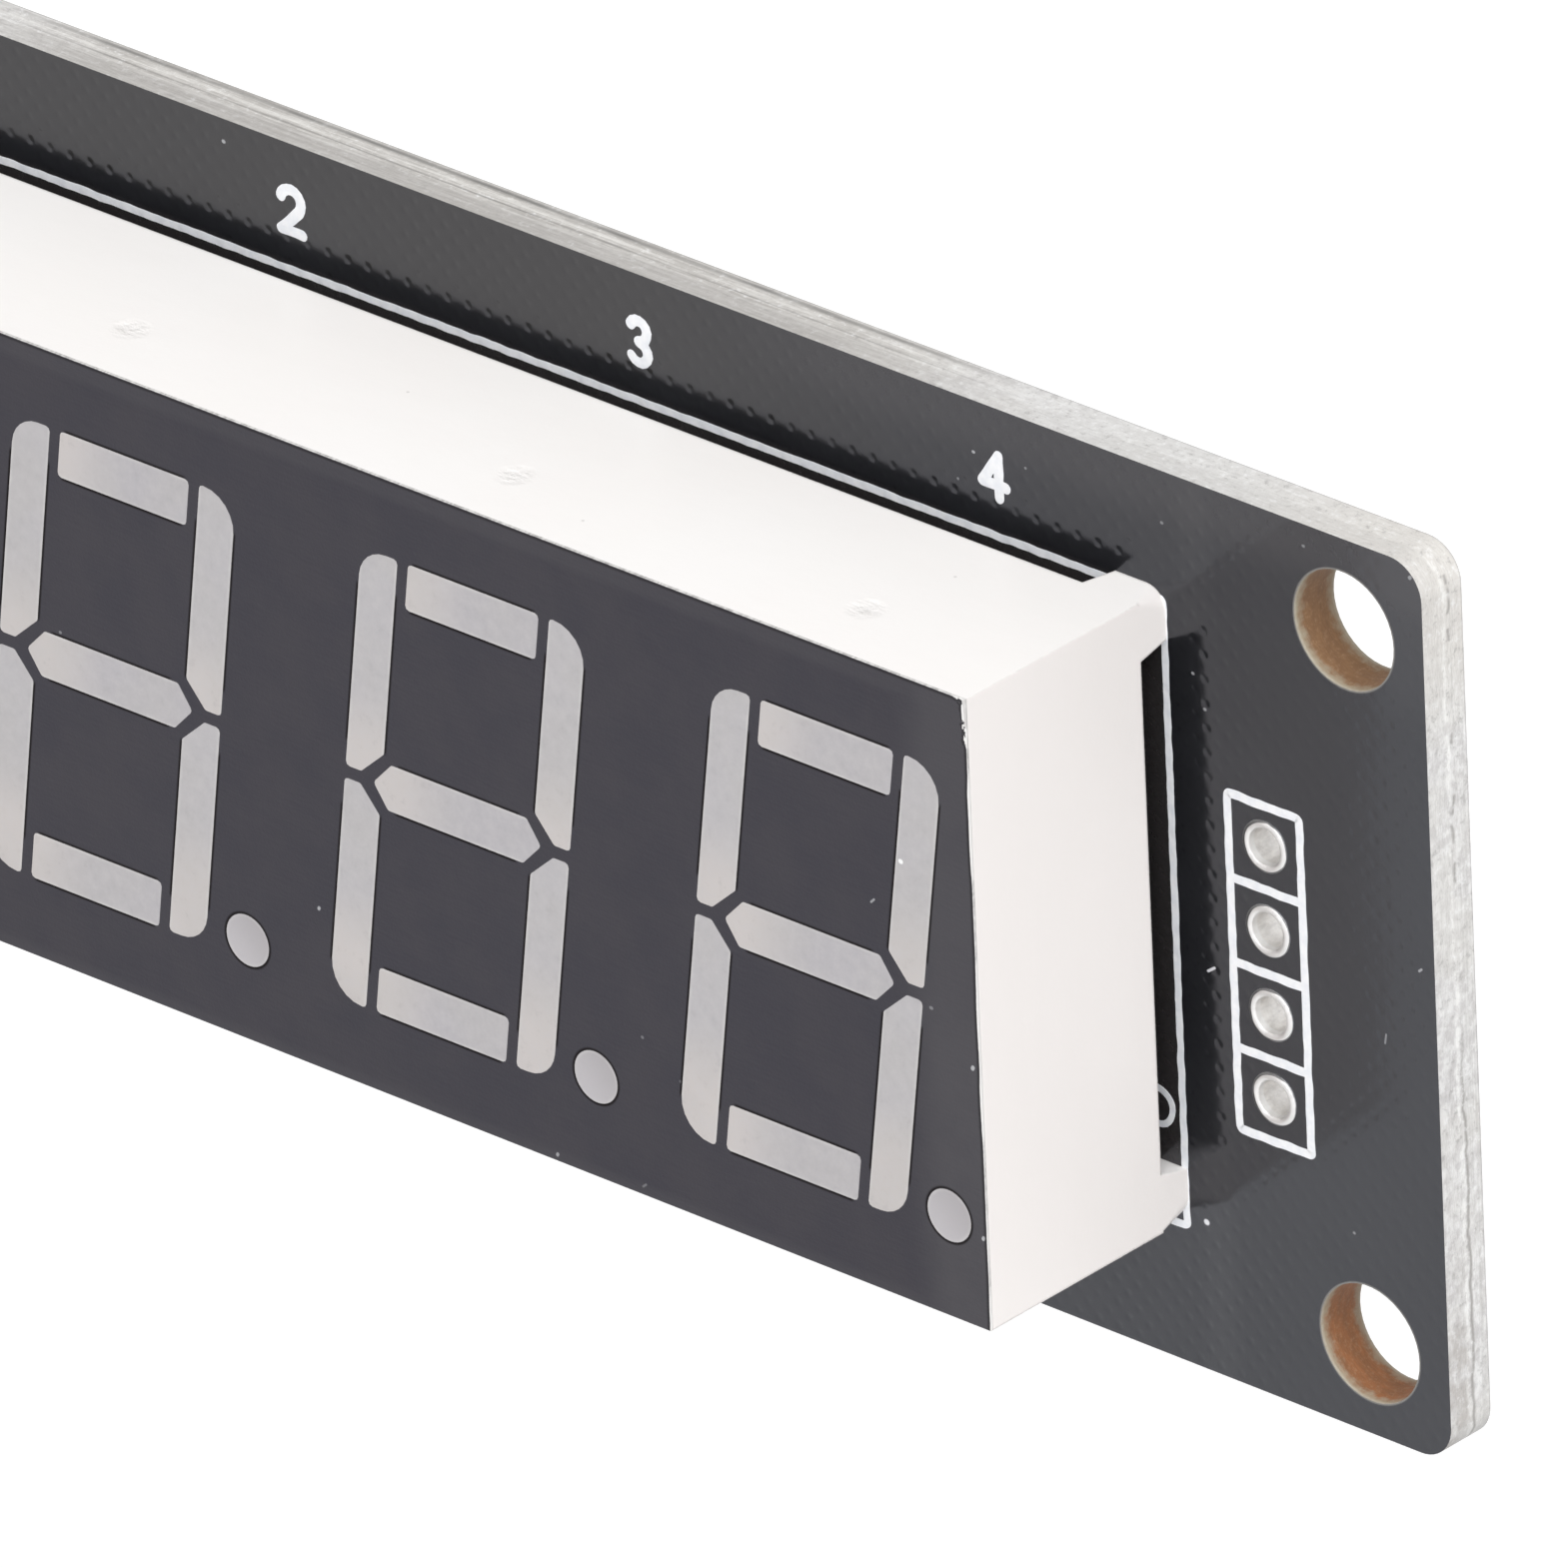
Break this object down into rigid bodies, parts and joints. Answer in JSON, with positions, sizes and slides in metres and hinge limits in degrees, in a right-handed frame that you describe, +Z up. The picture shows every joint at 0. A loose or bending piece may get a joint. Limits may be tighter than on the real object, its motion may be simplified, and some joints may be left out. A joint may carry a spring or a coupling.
{
  "type": "seven segment display module",
  "caption": "Seven-segment LED display block with slanted digits and decimal points, soldered to a small black driver board with corner mounting holes and a row of plated header holes.",
  "frame": {"origin": "centre of the rectangular pattern of mounting holes, on the board's back face", "axes": "X runs along the digits towards the header holes, +Z is up the digits, and the digits face -Y, so the driver's side of the board faces +Y"},
  "size_m": [0.0686, 0.0121, 0.027],
  "materials": {
    "solder_mask": "glossy black solder mask over woven glass laminate, bare laminate at the edges",
    "tinned_copper": "bright hot-air-levelled tin",
    "white_housing": "satin white moulded polycarbonate",
    "black_face": "matte black ink film",
    "segment_resin": "milky diffusing epoxy, ground flat",
    "inner_laminate": "pale bare laminate",
    "led_die": "semiconductor die",
    "tinned_wire": "tinned wire",
    "solder": "bright solder with a soft grain",
    "black_epoxy": "matte moulded epoxy, unmarked",
    "tinned_lead": "matte tinned lead frame",
    "capacitor_ceramic": "fired tan ceramic",
    "chip_terminal": "matte tin plating",
    "alumina": "white alumina",
    "resistor_glaze": "black glass overcoat"
  },
  "bodies": {
    "root": {"main_board": "solder_mask", "header_pads": "tinned_copper", "display_pads": "tinned_copper", "display_housing": "white_housing", "face_mask": "black_face", "segment_resin": "segment_resin", "die_board": "inner_laminate", "led_chips": "led_die", "upper_pins": "tinned_wire", "lower_pins": "tinned_wire", "pin_solder": "solder", "driver_body": "black_epoxy", "driver_leads": "tinned_lead", "driver_pads": "tinned_copper", "driver_solder": "solder", "capacitor_bodies": "capacitor_ceramic", "capacitor_terminals": "chip_terminal", "resistor_bodies": "alumina", "resistor_coats": "resistor_glaze", "resistor_terminals": "chip_terminal", "passive_pads": "tinned_copper", "passive_solder": "solder"}
  },
  "joints": []
}
